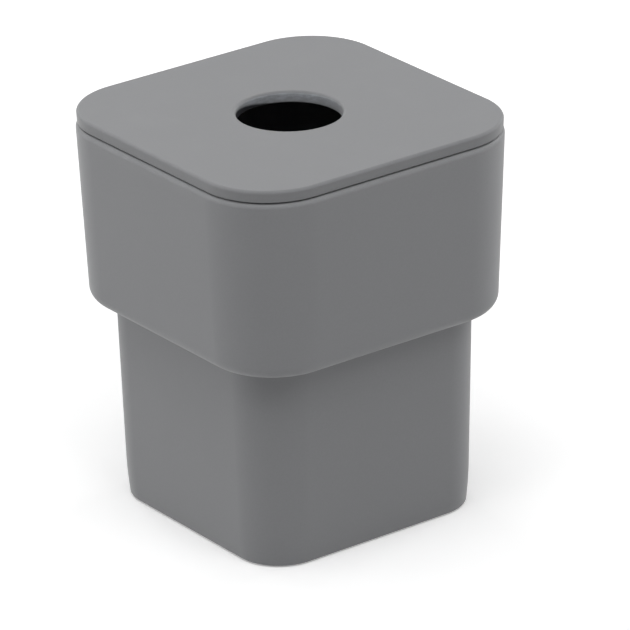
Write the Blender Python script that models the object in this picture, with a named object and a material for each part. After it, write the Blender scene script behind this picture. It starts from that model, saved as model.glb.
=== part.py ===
"""A square bathroom canister: a stepped shell, a lift-off lid with a finger hole, and four foot pads.

Metres, +Z up. The origin is under the middle of the canister, on the surface that it stands on.
The front is -Y.
"""

import math
from collections import namedtuple

import bmesh
import bpy
from mathutils import Matrix, Vector

# Fits between pieces
SEAT_GAP = 0.0003
SKIRT_CLEARANCE = 0.0005

# Shell: the upper block, from its rim down to the step
BODY_WIDTH = 0.1013
BODY_CORNER_RADIUS = 0.0233
RIM_HEIGHT = 0.1170
RIM_ROUND = 0.0016
MOUTH_ROUND = 0.0004
UPPER_DRAFT = math.radians(2.5)

# Shell: the step and the narrower lower block
STEP_HEIGHT = 0.06225
STEP_DEPTH = 0.0068
STEP_ROUND = 0.0041
WAIST_FILLET = 0.0010
WAIST_CORNER_RADIUS = 0.0161
LOWER_DRAFT = math.radians(1.5)
FOOT_TUCK = 0.0006
FOOT_TUCK_HEIGHT = 0.0120
FOOT_ROUND = 0.0005

# Shell: inside
WALL = 0.0030
FLOOR = 0.0030
FLOOR_ROUND = 0.0030

# Lid
LID_INSET = 0.00065
LID_CORNER_RADIUS = 0.0217
LID_THICKNESS = 0.0035
LID_TOP_ROUND = 0.0012
LID_LOWER_ROUND = 0.0003
HOLE_DIAMETER = 0.0308
HOLE_TOP_ROUND = 0.0010
HOLE_LOWER_ROUND = 0.0004
SKIRT_DEPTH = 0.0060
SKIRT_WALL = 0.0020
SKIRT_LEAD_IN = 0.0007
SKIRT_ROOT_FILLET = 0.0010

# Foot pads
PAD_DIAMETER = 0.0100
PAD_THICKNESS = 0.0010
PAD_PROUD = 0.0004
PAD_ROUND = 0.0002

# How far a cutter runs past the face that it cuts
OVERRUN = 0.0010

# Facets: per corner of a rounded square, per large round, per small edge, per full circle
CORNER_STEPS = 12
ROUND_STEPS = 7
EDGE_STEPS = 3
TUCK_STEPS = 5
HOLE_STEPS = 60
PAD_STEPS = 32

# Quarters of a rounded square, anticlockwise from +X +Y, and the pads that stand in them
QUARTERS = {
    "back_right": (1, 1),
    "back_left": (-1, 1),
    "front_left": (-1, -1),
    "front_right": (1, -1),
}

# Sizes that follow from those above
RIM_HALF = BODY_WIDTH / 2
STEP_HALF = RIM_HALF - (RIM_HEIGHT - STEP_HEIGHT) * math.tan(UPPER_DRAFT)
WAIST_HALF = STEP_HALF - STEP_DEPTH
FOOT_HALF = WAIST_HALF - STEP_HEIGHT * math.tan(LOWER_DRAFT)
MOUTH_HALF = RIM_HALF - WALL
LID_HALF = RIM_HALF - LID_INSET
SKIRT_HALF = MOUTH_HALF - SKIRT_CLEARANCE
HOLE_RADIUS = HOLE_DIAMETER / 2
PAD_RADIUS = PAD_DIAMETER / 2
POCKET_RADIUS = PAD_RADIUS + SEAT_GAP
POCKET_DEPTH = PAD_THICKNESS - PAD_PROUD + SEAT_GAP

# Every section of one block turns its corners about the same four upright lines
UPPER_TURN = RIM_HALF - BODY_CORNER_RADIUS
LOWER_TURN = WAIST_HALF - WAIST_CORNER_RADIUS
LID_TURN = LID_HALF - LID_CORNER_RADIUS

# A corner of an outline: half the width there, its height, where the section's corners turn, its own round
Corner = namedtuple("Corner", "half height turn radius steps")


def sharp(half, height, turn):
    """A corner of an outline that has no round."""
    return Corner(half, height, turn, 0, 0)


def clear_scene():
    for item in list(bpy.data.objects):
        bpy.data.objects.remove(item, do_unlink=True)


def tangent_lengths(corners):
    """How far each corner's arc reaches along its two sides, less where two arcs would meet on a side."""
    spots = [Vector((corner.half, corner.height)) for corner in corners]
    reach = [0] * len(corners)
    for i in range(1, len(corners) - 1):
        if corners[i].radius:
            back = spots[i - 1] - spots[i]
            ahead = spots[i + 1] - spots[i]
            reach[i] = corners[i].radius / math.tan(back.angle(ahead) / 2)
    for i in range(len(corners) - 1):
        side = (spots[i + 1] - spots[i]).length
        wanted = reach[i] + reach[i + 1]
        if wanted > side:
            reach[i] *= side / wanted
            reach[i + 1] *= side / wanted
    return reach


def arc_points(before, spot, after, reach, steps):
    """Points of the arc that is tangent to both sides of a corner and starts at reach from it."""
    back = (before - spot).normalized()
    ahead = (after - spot).normalized()
    half_angle = back.angle(ahead) / 2
    radius = reach * math.tan(half_angle)
    centre = spot + (back + ahead).normalized() * (radius / math.sin(half_angle))
    start = spot + back * reach - centre
    end = spot + ahead * reach - centre
    turn = start.angle_signed(end)
    return [centre + Matrix.Rotation(-turn * step / steps, 2) @ start for step in range(steps + 1)]


def rounded_outline(corners):
    """The outline's (half width, height, turn) points from its first corner to its last, with its arcs."""
    reach = tangent_lengths(corners)
    spots = [Vector((corner.half, corner.height)) for corner in corners]
    outline = []
    for i, corner in enumerate(corners):
        if reach[i]:
            arc = arc_points(spots[i - 1], spots[i], spots[i + 1], reach[i], corner.steps)
            outline += [(spot.x, spot.y, corner.turn) for spot in arc]
        else:
            outline.append((corner.half, corner.height, corner.turn))
    return outline


def square_ring(mesh, half, height, turn):
    """Vertices of one rounded-square section, anticlockwise seen from above."""
    radius = half - turn
    ring = []
    for quarter, (x_sign, y_sign) in enumerate(QUARTERS.values()):
        for step in range(CORNER_STEPS + 1):
            angle = (quarter + step / CORNER_STEPS) * math.pi / 2
            x = x_sign * turn + radius * math.cos(angle)
            y = y_sign * turn + radius * math.sin(angle)
            ring.append(mesh.verts.new((x, y, height)))
    return ring


def round_ring(mesh, radius, height, steps):
    """Vertices of one circle, anticlockwise seen from above."""
    angles = [math.tau * step / steps for step in range(steps)]
    return [mesh.verts.new((radius * math.cos(a), radius * math.sin(a), height)) for a in angles]


def skin(mesh, rings):
    """Faces from each ring to the next. All the rings have as many vertices."""
    for ring, following in zip(rings, rings[1:]):
        for i, vertex in enumerate(ring):
            mesh.faces.new((ring[i - 1], vertex, following[i], following[i - 1]))


def flat_between(mesh, outer_ring, inner_ring):
    """Fills the flat area between two rings at one height, which may differ in their vertex counts."""
    edges = []
    for ring in (outer_ring, inner_ring):
        edges += [mesh.edges.get((ring[i - 1], vertex)) for i, vertex in enumerate(ring)]
    bmesh.ops.bridge_loops(mesh, edges=edges)


def plastic(name, colour, roughness):
    """A plain moulded material."""
    material = bpy.data.materials.new(name)
    material.use_nodes = True
    shader = material.node_tree.nodes["Principled BSDF"]
    shader.inputs["Base Color"].default_value = (*colour, 1)
    shader.inputs["Roughness"].default_value = roughness
    shader.inputs["Metallic"].default_value = 0
    material.diffuse_color = (*colour, 1)
    return material


def finished_object(name, mesh, material, parent=None):
    """Closes a bmesh into a named object with smooth rounds and true flats."""
    bmesh.ops.recalc_face_normals(mesh, faces=mesh.faces)
    data = bpy.data.meshes.new(name)
    mesh.to_mesh(data)
    mesh.free()
    data.shade_smooth()
    data.set_sharp_from_angle(angle=math.radians(40))
    data.materials.append(material)
    item = bpy.data.objects.new(name, data)
    bpy.context.scene.collection.objects.link(item)
    item.parent = parent
    return item


def keep_flats_flat(item):
    """Lets the wide flat faces set the shading where they run into a round."""
    weighted = item.modifiers.new("flat faces", "WEIGHTED_NORMAL")
    weighted.keep_sharp = True


def outer_outline():
    """The shell's outside, from the underside up over the step to the rim and into the mouth."""
    corners = [
        sharp(0, 0, 0),
        Corner(FOOT_HALF - FOOT_TUCK, 0, LOWER_TURN, FOOT_ROUND, EDGE_STEPS),
    ]
    for step in range(1, TUCK_STEPS + 1):
        rise = step / TUCK_STEPS
        height = FOOT_TUCK_HEIGHT * rise
        drafted = FOOT_HALF + height * math.tan(LOWER_DRAFT)
        corners.append(sharp(drafted - FOOT_TUCK * (1 - rise) ** 2, height, LOWER_TURN))
    corners += [
        Corner(WAIST_HALF, STEP_HEIGHT, LOWER_TURN, WAIST_FILLET, EDGE_STEPS),
        Corner(STEP_HALF, STEP_HEIGHT, UPPER_TURN, STEP_ROUND, ROUND_STEPS),
        Corner(RIM_HALF, RIM_HEIGHT, UPPER_TURN, RIM_ROUND, ROUND_STEPS),
    ]
    return corners


def inner_outline():
    """The shell's inside, one wall in from the outside, from the mouth down over the shelf to the floor."""
    shelf_height = STEP_HEIGHT + FLOOR
    floor_half = FOOT_HALF - WALL + FLOOR * math.tan(LOWER_DRAFT)
    shelf_round = max(STEP_ROUND - WALL, 0)
    return [
        Corner(MOUTH_HALF, RIM_HEIGHT, UPPER_TURN, MOUTH_ROUND, EDGE_STEPS),
        Corner(STEP_HALF - WALL, shelf_height, UPPER_TURN, shelf_round, EDGE_STEPS),
        Corner(WAIST_HALF - WALL, shelf_height, LOWER_TURN, WAIST_FILLET + WALL, ROUND_STEPS),
        Corner(floor_half, FLOOR, LOWER_TURN, FLOOR_ROUND, ROUND_STEPS),
        sharp(0, FLOOR, 0),
    ]


def pocket_cutter(parent):
    """Four short cylinders that cut the pads' pockets into the underside."""
    mesh = bmesh.new()
    depth = POCKET_DEPTH + OVERRUN
    for x_sign, y_sign in QUARTERS.values():
        place = Vector((x_sign * LOWER_TURN, y_sign * LOWER_TURN, POCKET_DEPTH - depth / 2))
        bmesh.ops.create_cone(
            mesh,
            cap_ends=True,
            segments=PAD_STEPS,
            radius1=POCKET_RADIUS,
            radius2=POCKET_RADIUS,
            depth=depth,
            matrix=Matrix.Translation(place),
        )
    data = bpy.data.meshes.new("pad_pocket_cutter")
    mesh.to_mesh(data)
    mesh.free()
    cutter = bpy.data.objects.new("pad_pocket_cutter", data)
    bpy.context.scene.collection.objects.link(cutter)
    cutter.parent = parent
    cutter.hide_render = True
    cutter.display_type = "WIRE"
    return cutter


def build_shell(material):
    """The one-piece stepped shell: two drafted blocks, open at the top, with pockets for the pads."""
    mesh = bmesh.new()
    outline = rounded_outline(outer_outline() + inner_outline())
    rings = [square_ring(mesh, *point) for point in outline[1:-1]]
    skin(mesh, rings)
    mesh.faces.new(rings[0])
    mesh.faces.new(rings[-1])
    shell = finished_object("canister_body", mesh, material)
    shell.location.z = PAD_PROUD
    pockets = shell.modifiers.new("pad pockets", "BOOLEAN")
    pockets.operation = "DIFFERENCE"
    pockets.solver = "EXACT"
    pockets.object = pocket_cutter(shell)
    keep_flats_flat(shell)
    return shell


def lid_edge_outline():
    """The lid from its top face over the edge, under the flange and round the skirt to the underside."""
    inner_half = SKIRT_HALF - SKIRT_WALL
    return [
        sharp(0, LID_THICKNESS, 0),
        Corner(LID_HALF, LID_THICKNESS, LID_TURN, LID_TOP_ROUND, ROUND_STEPS),
        Corner(LID_HALF, 0, LID_TURN, LID_LOWER_ROUND, EDGE_STEPS),
        sharp(SKIRT_HALF, 0, UPPER_TURN),
        Corner(SKIRT_HALF, -SKIRT_DEPTH, UPPER_TURN, SKIRT_LEAD_IN, EDGE_STEPS),
        Corner(inner_half, -SKIRT_DEPTH, UPPER_TURN, SKIRT_LEAD_IN / 2, EDGE_STEPS),
        Corner(inner_half, 0, UPPER_TURN, SKIRT_ROOT_FILLET, EDGE_STEPS),
        sharp(0, 0, 0),
    ]


def finger_hole_outline():
    """The finger hole's wall from the underside to the top face, with both edges rounded."""
    past_edge = HOLE_RADIUS + LID_THICKNESS
    return [
        sharp(past_edge, 0, 0),
        Corner(HOLE_RADIUS, 0, 0, HOLE_LOWER_ROUND, EDGE_STEPS),
        Corner(HOLE_RADIUS, LID_THICKNESS, 0, HOLE_TOP_ROUND, ROUND_STEPS),
        sharp(past_edge, LID_THICKNESS, 0),
    ]


def build_lid(material, shell):
    """The lid: a rounded plate with a finger hole, and under it a skirt that drops into the mouth."""
    seat = bpy.data.objects.new("lid_lift", None)
    bpy.context.scene.collection.objects.link(seat)
    seat.parent = shell
    seat.location.z = RIM_HEIGHT + SEAT_GAP
    mesh = bmesh.new()
    edge = rounded_outline(lid_edge_outline())[1:-1]
    hole = rounded_outline(finger_hole_outline())[1:-1]
    edge_rings = [square_ring(mesh, *point) for point in edge]
    hole_rings = [round_ring(mesh, radius, height, HOLE_STEPS) for radius, height, _ in hole]
    skin(mesh, edge_rings)
    skin(mesh, hole_rings)
    flat_between(mesh, edge_rings[0], hole_rings[-1])
    flat_between(mesh, edge_rings[-1], hole_rings[0])
    lid = finished_object("lid", mesh, material, parent=seat)
    keep_flats_flat(lid)
    return lid


def pad_outline():
    """A foot pad from the middle of its standing face to the middle of its top, which is at height zero."""
    return [
        sharp(0, -PAD_THICKNESS, 0),
        Corner(PAD_RADIUS, -PAD_THICKNESS, 0, PAD_ROUND, EDGE_STEPS),
        sharp(PAD_RADIUS, 0, 0),
        sharp(0, 0, 0),
    ]


def build_pads(material, shell):
    """Four foot pads in the underside's pockets, each centred where the shell's corner turns."""
    for name, (x_sign, y_sign) in QUARTERS.items():
        mesh = bmesh.new()
        outline = rounded_outline(pad_outline())[1:-1]
        rings = [round_ring(mesh, radius, height, PAD_STEPS) for radius, height, _ in outline]
        skin(mesh, rings)
        mesh.faces.new(rings[0])
        mesh.faces.new(rings[-1])
        pad = finished_object("foot_pad_" + name, mesh, material, parent=shell)
        pad.location = (x_sign * LOWER_TURN, y_sign * LOWER_TURN, PAD_THICKNESS - PAD_PROUD)


def build_canister():
    clear_scene()
    shell_plastic = plastic("grey shell plastic", (0.262, 0.265, 0.274), 0.62)
    lid_plastic = plastic("darker grey lid plastic", (0.231, 0.234, 0.242), 0.62)
    pad_rubber = plastic("dark pad rubber", (0.02, 0.02, 0.022), 0.8)
    shell = build_shell(shell_plastic)
    build_lid(lid_plastic, shell)
    build_pads(pad_rubber, shell)


build_canister()
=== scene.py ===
"""The looks of a square bathroom canister: a matt grey moulded shell, a lift-off lid and foot pads.

Metres, +Z up. The canister stands on the floor at height zero, with its front towards -Y.
"""

import math

import bpy
from mathutils import Matrix, Vector


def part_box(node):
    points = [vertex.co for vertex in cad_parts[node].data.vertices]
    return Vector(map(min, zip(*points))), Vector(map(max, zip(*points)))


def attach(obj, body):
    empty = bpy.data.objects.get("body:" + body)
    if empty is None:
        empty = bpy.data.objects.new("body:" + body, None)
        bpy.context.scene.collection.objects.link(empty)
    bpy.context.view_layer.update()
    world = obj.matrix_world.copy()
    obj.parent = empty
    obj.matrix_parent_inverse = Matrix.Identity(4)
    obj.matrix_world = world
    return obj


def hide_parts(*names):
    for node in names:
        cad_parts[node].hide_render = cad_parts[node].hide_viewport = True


# Shell: the upper block, from its rim down to the step
BODY_WIDTH = 0.1013
BODY_CORNER_RADIUS = 0.0233
RIM_HEIGHT = 0.1170
RIM_ROUND = 0.0016
MOUTH_ROUND = 0.0004
UPPER_DRAFT = math.radians(2.5)

# Shell: the step and the narrower lower block
STEP_HEIGHT = 0.06225
STEP_DEPTH = 0.0068
STEP_ROUND = 0.0041
WAIST_FILLET = 0.0010
WAIST_CORNER_RADIUS = 0.0161
LOWER_DRAFT = math.radians(1.5)
FOOT_TUCK = 0.0006
FOOT_TUCK_HEIGHT = 0.0120
FOOT_ROUND = 0.0005

# Shell: inside, and the pockets that the pads sit in
WALL = 0.0030
FLOOR = 0.0030
FLOOR_ROUND = 0.0030
PAD_GAP = 0.0003

# Lid
LID_CORNER_RADIUS = 0.0217
LID_THICKNESS = 0.0035
LID_DRAFT = math.radians(3.5)
LID_TOP_ROUND = 0.0009
LID_LOWER_ROUND = 0.0003
HOLE_DIAMETER = 0.0308
HOLE_TOP_ROUND = 0.0010
HOLE_LOWER_ROUND = 0.0004
SKIRT_CLEARANCE = 0.0005
SKIRT_DEPTH = 0.0060
SKIRT_WALL = 0.0020
SKIRT_LEAD_IN = 0.0007
SKIRT_ROOT_FILLET = 0.0010

# Foot pads
PAD_ROUND = 0.0002

# Facets: per corner of a rounded square, per visible round, per small edge, per quarter of a pad, and down
# the foot's tuck
CORNER_STEPS = 40
ROUND_STEPS = 12
EDGE_STEPS = 6
PAD_STEPS = 16
TUCK_STEPS = 12

# Meshes: points nearer than this are one, and an edge that turns further than this is sharp
MERGE_DISTANCE = 1e-6
SHARP_ANGLE = math.radians(40)

# Plastic: its colours, and the gloss that all of it has
SHELL_GREY = (0.262, 0.265, 0.274)
LID_GREY = (0.231, 0.234, 0.242)
PLASTIC_ROUGHNESS = 0.62
PLASTIC_IOR = 1.5
PLASTIC_GLOSS = 0.5
PLASTIC_SHEEN = 0.3
SHEEN_ROUGHNESS = 0.4

# Plastic: its patterns, the noise values where patches start and are full, and the heights of grain and waves
CLOUDS = {"size": 0.030, "detail": 3}
PIGMENT = {"size": 0.0006, "detail": 2}
HANDLED = {"size": 0.012, "detail": 4}
HANDLED_PATCHES = (0.50, 0.72)
RUBBED = {"size": 0.004, "detail": 3}
RUBBED_PATCHES = (0.38, 0.66)
RUBBED_LEAST = 0.15
GRAIN = {"size": 0.00035, "detail": 2}
GRAIN_HEIGHT = 0.000012
WAVES = {"size": 0.018, "detail": 1}
WAVE_HEIGHT = 0.00006

# Plastic: how much each pattern adds to the tone and to the roughness
CLOUD_TONE, CLOUD_ROUGHNESS = 0.06, 0.10
PIGMENT_TONE, PIGMENT_ROUGHNESS = 0.10, 0.06
HANDLED_TONE, HANDLED_ROUGHNESS = -0.012, -0.05
RUBBED_TONE, RUBBED_ROUGHNESS = 0.05, -0.08

# Finger hole's cut wall: how far it runs into the hole's top round, its two greys, paler than the lid partly
# as a paler cut and partly as painted light, and its fine marks
CUT_OVERRUN = 0.2 * HOLE_TOP_ROUND
CUT_DARK_WITH_PAINTED_LIGHT = (0.38, 0.395, 0.42)
CUT_PALE_WITH_PAINTED_LIGHT = (0.52, 0.55, 0.59)
MARKS = {"size": 0.0022, "detail": 4, "seed": 9.0}
MARK_PATCHES = (0.36, 0.64)
MARK_FLATTENING = 2.5
CUT_ROUGHNESS = 0.06
MARK_ROUGHNESS = 0.1

# Finger hole's painted light, the wall painted paler on its far side, which faces the front left: its
# direction from above, where it starts and is full on the way there, how much is left at the lid's underside,
# where it fades as painted shade, and the height where it is full
PAINTED_LIGHT_SIDE = (0.60, 0.80)
PAINTED_LIGHT_START = (0.1, 0.8)
PAINTED_LIGHT_LEAST = 0.3
PAINTED_LIGHT_HEIGHT = 0.6 * LID_THICKNESS

# Finger hole's painted shade, a dark patch low on the wall towards the back left, where the wall faces away
# from
# the light: its direction from above, how high it reaches there, how fast it falls away to the sides, the
# heights about its edge where it is full and gone, and how much of the plastic it hides
PAINTED_SHADE_GREY = (0.008, 0.008, 0.010)
PAINTED_SHADE_SIDE = (-0.80, 0.60)
PAINTED_SHADE_HEIGHT = 0.0026
PAINTED_SHADE_FALL = 1.5
PAINTED_SHADE_EDGE = (-0.0006, 0.0001)
PAINTED_SHADE_SHARE = 0.97
PAINTED_SHADE_ROUGHNESS = 0.1
PAINTED_SHADE_GLOSS = 0.15

# Pads' rubber, its dust and its moulded grain
RUBBER_BLACK = (0.020, 0.020, 0.022)
RUBBER_ROUGHNESS = 0.74
DUST_GREY = (0.055, 0.053, 0.050)
DUST = {"size": 0.0015, "detail": 4, "seed": 5.0}
DUST_PATCHES = (0.45, 0.75)
DUST_SHARE = 0.5
DUST_ROUGHNESS = 0.12
RUBBER_GRAIN = {"size": 0.0003, "detail": 2, "seed": 6.0}
RUBBER_GRAIN_HEIGHT = 0.00002

# Floor: the tone that lights the canister, what it gains where it is seen, its glow there, and the distances
# between which that glow grows to full white
WHITE = (1, 1, 1, 1)
FLOOR_REACH = 6.0
FLOOR_COLOUR = 0.80
FLOOR_SEEN_EXTRA = 0.19
FLOOR_MOTTLE = {"size": 0.004, "detail": 3}
FLOOR_MOTTLE_TONE = 0.01
FLOOR_GLOW = 0.355
FLOOR_FADE = (0.3, 0.9)

# Floor: painted shade, deeper close round the foot, which only the camera sees
CONTACT_REACH = 0.045
CONTACT_OPEN = (0.5, 1)
CONTACT_SHADE = 0.12
CONTACT_SAMPLES = 16

# Lamps: azimuth (0 in front) and elevation in degrees, and power in watts
LAMP_DISTANCE = 1.2
LAMP_SIZE = 0.6
LAMP_AIM = (0, 0, 0.06)
LAMPS = {
    "high left": (-60, 68, 3.95),
    "left": (-90, 40, 1.52),
    "front": (0, 55, 3.56),
    "low front right": (45, 12, 1.01),
    "right": (90, 25, 3.69),
    "back right": (135, 40, 0.65),
    "back": (180, 40, 3.68),
    "low back left": (-135, 12, 2.60),
}

# Camera, fitted to the photograph: picture in pixels, sensor in millimetres, distances in metres, radians
PICTURE_WIDTH = 630
SENSOR_WIDTH = 36
FOCAL_PIXELS = 5922.09
CAMERA_DISTANCE = 1.72037
CAMERA_AZIMUTH = -0.639367
CAMERA_ELEVATION = 0.407671
CAMERA_ROLL = -0.020885
AIM_ACROSS = 0.0061409
AIM_HEIGHT = 0.0573513


class Number:
    """A number inside a node tree. Arithmetic on it adds Math nodes."""

    def __init__(self, tree, socket):
        self.tree = tree
        self.socket = socket

    def with_others(self, operation, *others):
        math_node = add(self.tree, "ShaderNodeMath", dict(enumerate((self, *others))), operation=operation)
        return Number(self.tree, math_node.outputs[0])

    def __add__(self, other):
        return self.with_others("ADD", other)

    def __sub__(self, other):
        return self.with_others("SUBTRACT", other)

    def __mul__(self, other):
        return self.with_others("MULTIPLY", other)

    def __truediv__(self, other):
        return self.with_others("DIVIDE", other)


def feed(tree, slot, value):
    """Links a socket or a Number to a node's input, or sets the input to a plain value."""
    if isinstance(value, Number):
        value = value.socket
    if isinstance(value, bpy.types.NodeSocket):
        tree.links.new(value, slot)
    else:
        slot.default_value = value


def add(tree, kind, inputs=None, **settings):
    """A new node with its settings, and with its inputs linked or set by name or by place."""
    node = tree.nodes.new(kind)
    for name, value in settings.items():
        setattr(node, name, value)
    for slot, value in (inputs or {}).items():
        feed(tree, node.inputs[slot], value)
    return node


def new_tree(name, inputs, output="Geometry"):
    """A geometry tree with named inputs, and the nodes that stand for its inputs and its output."""
    tree = bpy.data.node_groups.new(name, "GeometryNodeTree")
    for title, (kind, default) in inputs.items():
        socket = tree.interface.new_socket(title, in_out="INPUT", socket_type=kind)
        if default is not None:
            socket.default_value = default
    tree.interface.new_socket(output, in_out="OUTPUT", socket_type="NodeSocketGeometry")
    source = tree.nodes.new("NodeGroupInput").outputs
    drain = tree.nodes.new("NodeGroupOutput").inputs
    return tree, source, drain


def chosen(tree, kind, values):
    """The value from a list that belongs to each point, by the point's place in its curve."""
    switch = tree.nodes.new("GeometryNodeIndexSwitch")
    switch.data_type = kind
    while len(switch.index_switch_items) < len(values):
        switch.index_switch_items.new()
    feed(tree, switch.inputs["Index"], tree.nodes.new("GeometryNodeInputIndex").outputs[0])
    for place, value in enumerate(values):
        feed(tree, switch.inputs[str(place)], value)
    return switch.outputs[0]


def stored(tree, geometry, kind, name, value):
    """The geometry with one more named attribute on its points."""
    inputs = {"Geometry": geometry, "Name": name, "Value": value}
    return add(tree, "GeometryNodeStoreNamedAttribute", inputs, data_type=kind, domain="POINT").outputs[0]


def named(tree, kind, name):
    """The value of a named attribute."""
    return add(tree, "GeometryNodeInputNamedAttribute", {"Name": name}, data_type=kind).outputs[0]


def outline_of(tree, corners, closed):
    """A curve through corners (half width, height, turn, round, steps), with its corners rounded.

    Half width and height place a corner. Turn is how far from the middle the square's own corners have
    their centres at that height. The curve keeps turn. Its "edge" is 1 in the middle of each round and 0 on
    the flats.
    """
    line = {"Curve": add(tree, "GeometryNodeCurvePrimitiveLine").outputs[0], "Count": len(corners)}
    points = add(tree, "GeometryNodeResampleCurve", line, mode="COUNT").outputs[0]
    spots = [add(tree, "ShaderNodeCombineXYZ", {"X": c[0], "Z": c[1]}).outputs[0] for c in corners]
    place = {"Geometry": points, "Position": chosen(tree, "VECTOR", spots)}
    curve = add(tree, "GeometryNodeSetPosition", place).outputs[0]
    curve = stored(tree, curve, "FLOAT", "turn", chosen(tree, "FLOAT", [c[2] for c in corners]))
    curve = stored(tree, curve, "FLOAT", "round", chosen(tree, "FLOAT", [c[3] for c in corners]))
    curve = stored(tree, curve, "INT", "steps", chosen(tree, "INT", [c[4] for c in corners]))
    curve = stored(tree, curve, "INT", "corner", tree.nodes.new("GeometryNodeInputIndex").outputs[0])
    curve = add(tree, "GeometryNodeSetSplineCyclic", {"Geometry": curve, "Cyclic": closed}).outputs[0]
    fillet = {
        "Curve": curve,
        "Count": named(tree, "INT", "steps"),
        "Radius": named(tree, "FLOAT", "round"),
        "Limit Radius": True,
    }
    curve = add(tree, "GeometryNodeFilletCurve", fillet, mode="POLY").outputs[0]
    counted = add(
        tree,
        "GeometryNodeAccumulateField",
        {"Value": 1, "Group ID": named(tree, "INT", "corner")},
        data_type="INT",
        domain="POINT",
    )
    share = Number(tree, counted.outputs["Trailing"]) / (Number(tree, counted.outputs["Total"]) - 1)
    return stored(tree, curve, "FLOAT", "edge", (share * math.pi).with_others("SINE").socket)


def loft_tree():
    """Turns an outline into a solid. Each level is a square with rounded corners, or a circle at turn 0.

    The outline runs clockwise round the solid's material, seen with its width to the right and its height
    up.
    """
    inputs = {
        "Outline": ("NodeSocketGeometry", None),
        "Corner steps": ("NodeSocketInt", CORNER_STEPS),
        "Closed": ("NodeSocketInt", 0),
    }
    tree, source, drain = new_tree("rounded square loft", inputs, "Mesh")
    outline = source["Outline"]
    steps = Number(tree, source["Corner steps"])
    size = add(tree, "GeometryNodeAttributeDomainSize", {"Geometry": outline}, component="CURVE")
    levels = Number(tree, size.outputs["Point Count"])
    columns = (steps + 1) * 4
    grid = add(
        tree,
        "GeometryNodeMeshGrid",
        {"Vertices X": levels + source["Closed"], "Vertices Y": columns + 1},
    )
    index = Number(tree, tree.nodes.new("GeometryNodeInputIndex").outputs[0])
    level = (index / (columns + 1)).with_others("FLOOR")
    column = index - level * (columns + 1)
    quarter = (column / (steps + 1)).with_others("FLOOR")
    angle = (quarter + (column - quarter * (steps + 1)) / steps) * (math.pi / 2)
    diagonal = (quarter + 0.5) * (math.pi / 2)

    def at_level(kind, value):
        place = {"Geometry": outline, "Value": value, "Index": level.with_others("MODULO", levels)}
        return add(tree, "GeometryNodeSampleIndex", place, data_type=kind, domain="POINT").outputs[0]

    position = tree.nodes.new("GeometryNodeInputPosition").outputs[0]
    spot = add(tree, "ShaderNodeSeparateXYZ", {0: at_level("FLOAT_VECTOR", position)}).outputs
    turn = Number(tree, at_level("FLOAT", named(tree, "FLOAT", "turn")))
    radius = Number(tree, spot["X"]) - turn
    reach = turn * math.sqrt(2)
    place = {
        "X": reach * diagonal.with_others("COSINE") + radius * angle.with_others("COSINE"),
        "Y": reach * diagonal.with_others("SINE") + radius * angle.with_others("SINE"),
        "Z": spot["Z"],
    }
    rolled = add(tree, "ShaderNodeCombineXYZ", place).outputs[0]
    edge = at_level("FLOAT", named(tree, "FLOAT", "edge"))
    mesh = stored(tree, grid.outputs["Mesh"], "FLOAT", "edge", edge)
    mesh = add(tree, "GeometryNodeSetPosition", {"Geometry": mesh, "Position": rolled}).outputs[0]
    seams = {"Geometry": mesh, "Distance": MERGE_DISTANCE}
    feed(tree, drain["Mesh"], add(tree, "GeometryNodeMergeByDistance", seams).outputs[0])
    return tree


def lofted(tree, loft, corners, closed, steps):
    """The solid of one outline, made by the shared loft group."""
    group = tree.nodes.new("GeometryNodeGroup")
    group.node_tree = loft
    feed(tree, group.inputs["Outline"], outline_of(tree, corners, closed))
    feed(tree, group.inputs["Corner steps"], steps)
    feed(tree, group.inputs["Closed"], int(closed))
    return group.outputs["Mesh"]


def finish_tree(tree, source, drain, mesh):
    """Lifts the piece to its place, shades it smooth and gives it its material."""
    lift = add(tree, "ShaderNodeCombineXYZ", {"Z": source["Base height"]}).outputs[0]
    mesh = add(tree, "GeometryNodeTransform", {"Geometry": mesh, "Translation": lift}).outputs[0]
    mesh = add(tree, "GeometryNodeSetShadeSmooth", {"Geometry": mesh, "Shade Smooth": True}).outputs[0]
    mesh = add(tree, "GeometryNodeRealizeInstances", {"Geometry": mesh}).outputs[0]
    coat = {"Geometry": mesh, "Material": source["Material"]}
    feed(tree, drain["Geometry"], add(tree, "GeometryNodeSetMaterial", coat).outputs[0])


def at_four_corners(tree, spacing, mesh):
    """Four copies of a mesh, at the corners of a level square."""
    square = {"Size X": spacing, "Size Y": spacing, "Vertices X": 2, "Vertices Y": 2}
    spots = add(tree, "GeometryNodeMeshGrid", square).outputs["Mesh"]
    return add(tree, "GeometryNodeInstanceOnPoints", {"Points": spots, "Instance": mesh}).outputs[0]


def in_words(name):
    """An input's title from its name in this script: rim_height becomes Rim height."""
    return name.replace("_", " ").capitalize()


def sizes(**named_sizes):
    """Tree inputs for lengths, angles and a material, titled in plain words."""
    inputs = {in_words(name): ("NodeSocketFloat", value) for name, value in named_sizes.items()}
    inputs["Material"] = ("NodeSocketMaterial", None)
    return inputs


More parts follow.
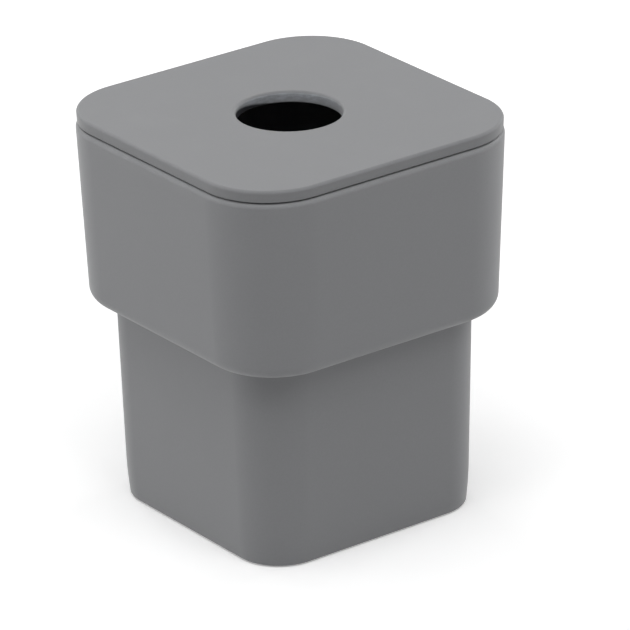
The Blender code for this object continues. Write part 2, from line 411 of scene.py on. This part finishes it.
def shell_tree(loft):
    """The stepped shell: two drafted blocks outside, one wall all round inside, and the pads' pockets."""
    inputs = sizes(
        body_width=BODY_WIDTH,
        body_corner_radius=BODY_CORNER_RADIUS,
        rim_height=RIM_HEIGHT,
        rim_round=RIM_ROUND,
        mouth_round=MOUTH_ROUND,
        upper_draft=UPPER_DRAFT,
        step_height=STEP_HEIGHT,
        step_depth=STEP_DEPTH,
        step_round=STEP_ROUND,
        waist_fillet=WAIST_FILLET,
        waist_corner_radius=WAIST_CORNER_RADIUS,
        lower_draft=LOWER_DRAFT,
        foot_tuck=FOOT_TUCK,
        foot_tuck_height=FOOT_TUCK_HEIGHT,
        foot_round=FOOT_ROUND,
        wall=WALL,
        floor=FLOOR,
        floor_round=FLOOR_ROUND,
        pocket_radius=0,
        pocket_depth=0,
        base_height=0,
    )
    tree, source, drain = new_tree("stepped shell", inputs)

    def size(title):
        return Number(tree, source[title])

    rim_height, step_height = size("Rim height"), size("Step height")
    wall, floor = size("Wall"), size("Floor")
    upper_slope = size("Upper draft").with_others("TANGENT")
    lower_slope = size("Lower draft").with_others("TANGENT")
    rim_half = size("Body width") / 2
    step_half = rim_half - (rim_height - step_height) * upper_slope
    waist_half = step_half - size("Step depth")
    foot_half = waist_half - step_height * lower_slope
    upper_turn = rim_half - size("Body corner radius")
    lower_turn = waist_half - size("Waist corner radius")
    shelf_height = step_height + floor
    floor_half = foot_half - wall + floor * lower_slope
    corners = [
        (0, 0, 0, 0, 1),
        (foot_half - size("Foot tuck"), 0, lower_turn, size("Foot round"), EDGE_STEPS),
    ]
    for step in range(1, TUCK_STEPS + 1):
        share = step / TUCK_STEPS
        height = size("Foot tuck height") * share
        tucked = foot_half + height * lower_slope - size("Foot tuck") * (1 - share) ** 2
        corners.append((tucked, height, lower_turn, 0, 1))
    corners += [
        (waist_half, step_height, lower_turn, size("Waist fillet"), EDGE_STEPS),
        (step_half, step_height, upper_turn, size("Step round"), ROUND_STEPS),
        (rim_half, rim_height, upper_turn, size("Rim round"), ROUND_STEPS),
        (rim_half - wall, rim_height, upper_turn, size("Mouth round"), EDGE_STEPS),
        (step_half - wall, shelf_height, upper_turn, size("Step round") - wall, EDGE_STEPS),
        (waist_half - wall, shelf_height, lower_turn, size("Waist fillet") + wall, ROUND_STEPS),
        (floor_half, floor, lower_turn, size("Floor round"), ROUND_STEPS),
        (0, floor, 0, 0, 1),
    ]
    shell = lofted(tree, loft, corners[::-1], False, CORNER_STEPS)
    depth = size("Pocket depth")
    cutter = {"Vertices": PAD_STEPS * 4, "Radius": source["Pocket radius"], "Depth": depth * 2}
    pocket = add(tree, "GeometryNodeMeshCylinder", cutter).outputs["Mesh"]
    pockets = at_four_corners(tree, lower_turn * 2, pocket)
    pockets = add(tree, "GeometryNodeRealizeInstances", {"Geometry": pockets}).outputs[0]
    cut = add(tree, "GeometryNodeMeshBoolean", operation="DIFFERENCE", solver="EXACT")
    feed(tree, cut.inputs["Mesh 1"], shell)
    feed(tree, cut.inputs["Mesh 2"], pockets)
    finish_tree(tree, source, drain, cut.outputs["Mesh"])
    return tree


def lid_tree(loft):
    """The lid: one closed outline from the hole over the plate, round the skirt and back up the hole."""
    inputs = sizes(
        width=0,
        corner_radius=LID_CORNER_RADIUS,
        thickness=LID_THICKNESS,
        draft=LID_DRAFT,
        top_round=LID_TOP_ROUND,
        lower_round=LID_LOWER_ROUND,
        hole_diameter=HOLE_DIAMETER,
        hole_top_round=HOLE_TOP_ROUND,
        hole_lower_round=HOLE_LOWER_ROUND,
        skirt_width=0,
        skirt_turn=0,
        skirt_depth=SKIRT_DEPTH,
        skirt_wall=SKIRT_WALL,
        skirt_lead_in=SKIRT_LEAD_IN,
        skirt_root_fillet=SKIRT_ROOT_FILLET,
        base_height=0,
    )
    tree, source, drain = new_tree("lid with finger hole", inputs)

    def size(title):
        return Number(tree, source[title])

    half, thickness, hole = size("Width") / 2, source["Thickness"], size("Hole diameter") / 2
    lower_half = half - size("Draft").with_others("TANGENT") * thickness
    turn = half - size("Corner radius")
    skirt, skirt_turn, lead_in = size("Skirt width") / 2, source["Skirt turn"], size("Skirt lead in")
    tip = size("Skirt depth") * -1
    inner = skirt - size("Skirt wall")
    corners = [
        (hole, thickness, 0, source["Hole top round"], ROUND_STEPS),
        (half, thickness, turn, source["Top round"], ROUND_STEPS),
        (lower_half, 0, turn, source["Lower round"], EDGE_STEPS),
        (skirt, 0, skirt_turn, 0, 1),
        (skirt, tip, skirt_turn, lead_in, EDGE_STEPS),
        (inner, tip, skirt_turn, lead_in / 2, EDGE_STEPS),
        (inner, 0, skirt_turn, source["Skirt root fillet"], EDGE_STEPS),
        (hole, 0, 0, source["Hole lower round"], EDGE_STEPS),
    ]
    finish_tree(tree, source, drain, lofted(tree, loft, corners, True, CORNER_STEPS))
    return tree


def pads_tree(loft):
    """Four round foot pads, one under each corner of the lower block."""
    inputs = sizes(diameter=0, thickness=0, edge_round=PAD_ROUND, spacing=0, base_height=0)
    tree, source, drain = new_tree("foot pads", inputs)
    radius = Number(tree, source["Diameter"]) / 2
    corners = [
        (0, source["Thickness"], 0, 0, 1),
        (radius, source["Thickness"], 0, 0, 1),
        (radius, 0, 0, source["Edge round"], EDGE_STEPS),
        (0, 0, 0, 0, 1),
    ]
    pad = lofted(tree, loft, corners, False, PAD_STEPS)
    finish_tree(tree, source, drain, at_four_corners(tree, source["Spacing"], pad))
    return tree


def baked(name, tree, **values):
    """A plain mesh piece from a geometry tree, with the flats' shading kept flat beside their rounds."""
    maker = bpy.data.objects.new(name + "_maker", bpy.data.meshes.new(name + "_maker"))
    bpy.context.scene.collection.objects.link(maker)
    modifier = maker.modifiers.new(tree.name, "NODES")
    modifier.node_group = tree
    titles = {in_words(word): value for word, value in values.items()}
    for item in tree.interface.items_tree:
        if item.item_type == "SOCKET" and item.in_out == "INPUT" and item.name in titles:
            modifier[item.identifier] = titles[item.name]
    graph = bpy.context.evaluated_depsgraph_get()
    mesh = bpy.data.meshes.new_from_object(maker.evaluated_get(graph), depsgraph=graph)
    bpy.data.objects.remove(maker)
    mesh.materials.pop(index=0)
    mesh.name = name
    mesh.set_sharp_from_angle(angle=SHARP_ANGLE)
    piece = bpy.data.objects.new(name, mesh)
    bpy.context.scene.collection.objects.link(piece)
    weighted = piece.modifiers.new("flat faces", "WEIGHTED_NORMAL")
    weighted.keep_sharp = True
    return piece


def new_material(name):
    """An empty material with its shader and the coordinates that its patterns read."""
    material = bpy.data.materials.new(name)
    material.use_nodes = True
    tree = material.node_tree
    shader = tree.nodes["Principled BSDF"]
    place = tree.nodes.new("ShaderNodeTexCoord").outputs["Object"]
    return material, tree, shader, place


def noise(tree, place, size, detail=2.0, seed=0.0):
    """A pattern from 0 to 1 whose patches are about one size across, in metres."""
    shifted = add(tree, "ShaderNodeMapping", {"Vector": place, "Location": (seed, seed / 2, -seed)})
    inputs = {"Vector": shifted.outputs[0], "Scale": 1 / size, "Detail": detail, "Roughness": 0.55}
    return Number(tree, add(tree, "ShaderNodeTexNoise", inputs).outputs[0])


def ranged(tree, value, low, high, to_low, to_high):
    """The value's range from low to high, moved to another range and held there."""
    inputs = {"Value": value, "From Min": low, "From Max": high, "To Min": to_low, "To Max": to_high}
    return Number(tree, add(tree, "ShaderNodeMapRange", inputs, clamp=True).outputs[0])


def mixed(tree, share, first, second, blend="MIX"):
    """A colour blended from two, each a socket or three plain values."""
    node = add(tree, "ShaderNodeMix", {0: share}, data_type="RGBA", blend_type=blend)
    for slot, colour in ((6, first), (7, second)):
        feed(tree, node.inputs[slot], colour if isinstance(colour, bpy.types.NodeSocket) else (*colour, 1))
    return node.outputs[2]


def cut_wall(tree, place, underside):
    """The finger hole's cut wall: how pale it is, with painted light on its far side, its fine marks, and a
    painted shade low down.
    """
    spot = add(tree, "ShaderNodeSeparateXYZ", {0: place}).outputs
    x, y, height = (Number(tree, spot[axis]) for axis in "XYZ")
    from_axis = (x * x + y * y).with_others("SQRT")
    hole = HOLE_DIAMETER / 2
    wall = ranged(tree, from_axis, hole, hole + CUT_OVERRUN, 1, 0)

    def towards(side):
        return (x * (side[0] / hole) + y * (side[1] / hole)).with_others("MAXIMUM", 0)

    # Painted light: the cut wall is painted paler on its far side, where it faces the front left and the
    # light falls on it.
    cut_and_painted_light = wall * ranged(tree, towards(PAINTED_LIGHT_SIDE), *PAINTED_LIGHT_START, 0, 1)
    # Painted shade: the paleness fades towards the lid's underside, darker where the hole is deep.
    cut_and_painted_light = cut_and_painted_light * ranged(tree, height, underside, underside + PAINTED_LIGHT_HEIGHT, PAINTED_LIGHT_LEAST, 1)
    # Painted shade: a dark patch low on the wall towards the back left, where the wall faces away from the
    # light.
    reach = towards(PAINTED_SHADE_SIDE).with_others("POWER", PAINTED_SHADE_FALL) * PAINTED_SHADE_HEIGHT
    painted_shade = wall * ranged(tree, height - underside - reach, *PAINTED_SHADE_EDGE, 1, 0)
    flattened = add(tree, "ShaderNodeMapping", {"Vector": place, "Scale": (1, 1, MARK_FLATTENING)}).outputs[0]
    marks = ranged(tree, noise(tree, flattened, **MARKS), *MARK_PATCHES, 0, 1)
    return cut_and_painted_light, marks, painted_shade


def moulded_plastic(name, colour, seed, hole_underside=None):
    """Matt pigmented plastic from a spark-eroded tool, rubbed a little smoother and paler along its edges.

    The piece with the finger hole gives the height of its underside, and gets the hole's cut wall too, with
    its painted light and painted shade.
    """
    material, tree, shader, place = new_material(name)
    edge = Number(tree, add(tree, "ShaderNodeAttribute", attribute_name="edge").outputs["Fac"])
    clouds = noise(tree, place, **CLOUDS, seed=seed) - 0.5
    pigment = noise(tree, place, **PIGMENT, seed=seed) - 0.5
    handled = ranged(tree, noise(tree, place, **HANDLED, seed=seed + 1), *HANDLED_PATCHES, 0, 1)
    rubbed = ranged(tree, noise(tree, place, **RUBBED, seed=seed + 2), *RUBBED_PATCHES, RUBBED_LEAST, 1)
    rubbed = edge * rubbed
    tone = clouds * CLOUD_TONE + pigment * PIGMENT_TONE + 1
    tone = tone + rubbed * RUBBED_TONE + handled * HANDLED_TONE
    roughness = clouds * CLOUD_ROUGHNESS + pigment * PIGMENT_ROUGHNESS + PLASTIC_ROUGHNESS
    roughness = roughness + handled * HANDLED_ROUGHNESS + rubbed * RUBBED_ROUGHNESS
    sheen, gloss = PLASTIC_SHEEN, PLASTIC_GLOSS
    if hole_underside is not None:
        cut_and_painted_light, marks, painted_shade = cut_wall(tree, place, hole_underside)
        # The cut wall takes its grey with painted light, and the painted shade goes over it.
        colour = mixed(tree, cut_and_painted_light, colour, mixed(tree, marks, CUT_DARK_WITH_PAINTED_LIGHT, CUT_PALE_WITH_PAINTED_LIGHT))
        colour = mixed(tree, painted_shade * PAINTED_SHADE_SHARE, colour, PAINTED_SHADE_GREY)
        roughness = roughness + cut_and_painted_light * (marks * MARK_ROUGHNESS + CUT_ROUGHNESS) + painted_shade * PAINTED_SHADE_ROUGHNESS
        # The painted shade loses sheen and gloss, so that it stays dark.
        sheen = painted_shade * -PLASTIC_SHEEN + PLASTIC_SHEEN
        gloss = painted_shade * (PAINTED_SHADE_GLOSS - PLASTIC_GLOSS) + PLASTIC_GLOSS
    grey = add(tree, "ShaderNodeCombineColor", {0: tone, 1: tone, 2: tone}).outputs[0]
    feed(tree, shader.inputs["Base Color"], mixed(tree, 1, colour, grey, "MULTIPLY"))
    feed(tree, shader.inputs["Roughness"], roughness)
    feed(tree, shader.inputs["IOR"], PLASTIC_IOR)
    feed(tree, shader.inputs["Specular IOR Level"], gloss)
    feed(tree, shader.inputs["Sheen Weight"], sheen)
    feed(tree, shader.inputs["Sheen Roughness"], SHEEN_ROUGHNESS)
    grain = noise(tree, place, **GRAIN, seed=seed + 3) * GRAIN_HEIGHT
    waves = noise(tree, place, **WAVES, seed=seed + 4) * WAVE_HEIGHT
    bump = add(tree, "ShaderNodeBump", {"Height": grain + waves, "Distance": 1.0, "Strength": 1.0})
    feed(tree, shader.inputs["Normal"], bump.outputs[0])
    return material


def pad_rubber():
    """Dark rubber with a dusty bloom and a fine moulded texture."""
    material, tree, shader, place = new_material("dark pad rubber")
    dust = ranged(tree, noise(tree, place, **DUST), *DUST_PATCHES, 0, 1)
    feed(tree, shader.inputs["Base Color"], mixed(tree, dust * DUST_SHARE, RUBBER_BLACK, DUST_GREY))
    feed(tree, shader.inputs["Roughness"], dust * DUST_ROUGHNESS + RUBBER_ROUGHNESS)
    grain = noise(tree, place, **RUBBER_GRAIN) * RUBBER_GRAIN_HEIGHT
    bump = add(tree, "ShaderNodeBump", {"Height": grain, "Distance": 1.0, "Strength": 1.0})
    feed(tree, shader.inputs["Normal"], bump.outputs[0])
    return material


def seen_rays(tree):
    """1 for the rays that the camera sees directly, or in gloss or glass."""
    path = tree.nodes.new("ShaderNodeLightPath").outputs
    direct = Number(tree, path["Is Camera Ray"]).with_others("MAXIMUM", path["Is Glossy Ray"])
    return direct.with_others("MAXIMUM", path["Is Transmission Ray"])


def white_floor():
    """A floor that keeps the canister's soft shadow, with painted shade deeper close round the foot, and is
    white beyond.
    """
    material = bpy.data.materials.new("white floor")
    material.use_nodes = True
    tree = material.node_tree
    tree.nodes.clear()
    place = tree.nodes.new("ShaderNodeTexCoord").outputs["Object"]
    mottle = (noise(tree, place, **FLOOR_MOTTLE) - 0.5) * FLOOR_MOTTLE_TONE
    seen = seen_rays(tree)
    openness = add(tree, "ShaderNodeAmbientOcclusion", {"Distance": CONTACT_REACH}, samples=CONTACT_SAMPLES)
    camera = tree.nodes.new("ShaderNodeLightPath").outputs["Is Camera Ray"]
    # Painted shade: the floor is painted darker to the camera where the canister hems it in.
    painted_contact_shade = ranged(tree, openness.outputs["AO"], *CONTACT_OPEN, 1, 0) * camera * -CONTACT_SHADE + 1
    tone = (mottle + seen * FLOOR_SEEN_EXTRA + FLOOR_COLOUR) * painted_contact_shade
    colour = add(tree, "ShaderNodeCombineColor", {0: tone, 1: tone, 2: tone}).outputs[0]
    surface = add(tree, "ShaderNodeBsdfDiffuse", {"Color": colour}).outputs[0]
    away = add(tree, "ShaderNodeVectorMath", {0: place}, operation="LENGTH").outputs["Value"]
    fill = ranged(tree, away, *FLOOR_FADE, FLOOR_GLOW, 1)
    glow = add(tree, "ShaderNodeEmission", {"Color": WHITE, "Strength": seen * fill * painted_contact_shade})
    both = add(tree, "ShaderNodeAddShader", {0: surface, 1: glow.outputs[0]}).outputs[0]
    output = tree.nodes.new("ShaderNodeOutputMaterial")
    feed(tree, output.inputs["Surface"], both)
    return material


def build_floor():
    """A wide level floor at height zero."""
    mesh = bpy.data.meshes.new("floor")
    corners = [(x * FLOOR_REACH, y * FLOOR_REACH, 0) for x, y in ((-1, -1), (1, -1), (1, 1), (-1, 1))]
    mesh.from_pydata(corners, [], [(0, 1, 2, 3)])
    mesh.materials.append(white_floor())
    floor = bpy.data.objects.new("floor", mesh)
    bpy.context.scene.collection.objects.link(floor)


def build_world():
    """White where it is seen, directly or in gloss. It lights nothing itself: the lamps do that."""
    world = bpy.data.worlds.new("pale studio")
    world.use_nodes = True
    tree = world.node_tree
    backdrop = tree.nodes["Background"].inputs
    feed(tree, backdrop["Color"], WHITE)
    feed(tree, backdrop["Strength"], seen_rays(tree))
    bpy.context.scene.world = world


def direction(azimuth, elevation):
    """The way out from the canister, in radians. Azimuth 0 is to its front, and above 0 to its right."""
    level = math.cos(elevation)
    return Vector((math.sin(azimuth) * level, -math.cos(azimuth) * level, math.sin(elevation)))


def build_lamp(name, azimuth, elevation, power):
    """A soft square lamp that is turned to the middle of the canister."""
    towards = direction(math.radians(azimuth), math.radians(elevation))
    light = bpy.data.lights.new(name, "AREA")
    light.shape = "SQUARE"
    light.size = LAMP_SIZE
    light.energy = power
    lamp = bpy.data.objects.new(name, light)
    lamp.location = Vector(LAMP_AIM) + towards * LAMP_DISTANCE
    lamp.rotation_mode = "QUATERNION"
    lamp.rotation_quaternion = (-towards).to_track_quat("-Z", "Y")
    bpy.context.scene.collection.objects.link(lamp)


def build_camera():
    """The photograph's camera: a long lens from the front left, above the canister."""
    across = Vector((math.cos(CAMERA_AZIMUTH), math.sin(CAMERA_AZIMUTH), 0))
    back = direction(CAMERA_AZIMUTH, CAMERA_ELEVATION)
    upright = back.cross(across)
    right = across * math.cos(CAMERA_ROLL) + upright * math.sin(CAMERA_ROLL)
    up = upright * math.cos(CAMERA_ROLL) - across * math.sin(CAMERA_ROLL)
    place = across * AIM_ACROSS + Vector((0, 0, AIM_HEIGHT)) + back * CAMERA_DISTANCE
    data = bpy.data.cameras.new("camera")
    data.sensor_width = SENSOR_WIDTH
    data.lens = FOCAL_PIXELS / PICTURE_WIDTH * SENSOR_WIDTH
    camera = bpy.data.objects.new("camera", data)
    camera.matrix_world = Matrix.Translation(place) @ Matrix((right, up, back)).transposed().to_4x4()
    bpy.context.scene.collection.objects.link(camera)
    bpy.context.scene.camera = camera


def build_canister():
    """The visible shell, lid and pads, each in the place of its CAD node."""
    loft = loft_tree()
    shell_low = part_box("canister_body")[0]
    lid_low, lid_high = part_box("lid")
    pad_low, pad_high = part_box("foot_pad_back_right")
    pad_centre = (pad_low + pad_high) / 2
    mouth_width = BODY_WIDTH - 2 * WALL
    shell = baked(
        "shell",
        shell_tree(loft),
        pocket_radius=(pad_high.x - pad_low.x) / 2 + PAD_GAP,
        pocket_depth=pad_high.z - shell_low.z + PAD_GAP,
        base_height=shell_low.z,
        material=moulded_plastic("matt grey shell plastic", SHELL_GREY, 0.0),
    )
    lid = baked(
        "lift_off_lid",
        lid_tree(loft),
        width=lid_high.x - lid_low.x,
        skirt_width=mouth_width - 2 * SKIRT_CLEARANCE,
        skirt_turn=BODY_WIDTH / 2 - BODY_CORNER_RADIUS,
        base_height=lid_high.z - LID_THICKNESS,
        material=moulded_plastic("matt grey lid plastic", LID_GREY, 7.0, lid_high.z - LID_THICKNESS),
    )
    pads = baked(
        "foot_pads",
        pads_tree(loft),
        diameter=pad_high.x - pad_low.x,
        thickness=pad_high.z - pad_low.z,
        spacing=pad_centre.x * 2,
        base_height=pad_low.z,
        material=pad_rubber(),
    )
    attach(shell, "canister")
    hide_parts("canister_body")
    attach(lid, "lid")
    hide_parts("lid")
    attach(pads, "canister")
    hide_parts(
        "foot_pad_back_right",
        "foot_pad_back_left",
        "foot_pad_front_left",
        "foot_pad_front_right",
    )


def build_studio():
    """The camera, the floor and the light round the canister."""
    build_camera()
    build_world()
    build_floor()
    for name, (azimuth, elevation, power) in LAMPS.items():
        build_lamp(name, azimuth, elevation, power)
    bpy.context.scene.view_settings.view_transform = "Standard"


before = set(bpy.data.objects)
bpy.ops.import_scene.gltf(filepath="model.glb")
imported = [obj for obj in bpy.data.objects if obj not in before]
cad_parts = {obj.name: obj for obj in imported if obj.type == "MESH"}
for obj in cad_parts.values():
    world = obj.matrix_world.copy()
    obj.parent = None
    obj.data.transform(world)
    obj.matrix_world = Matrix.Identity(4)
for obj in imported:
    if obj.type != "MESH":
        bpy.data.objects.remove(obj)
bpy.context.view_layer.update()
build_canister()
build_studio()
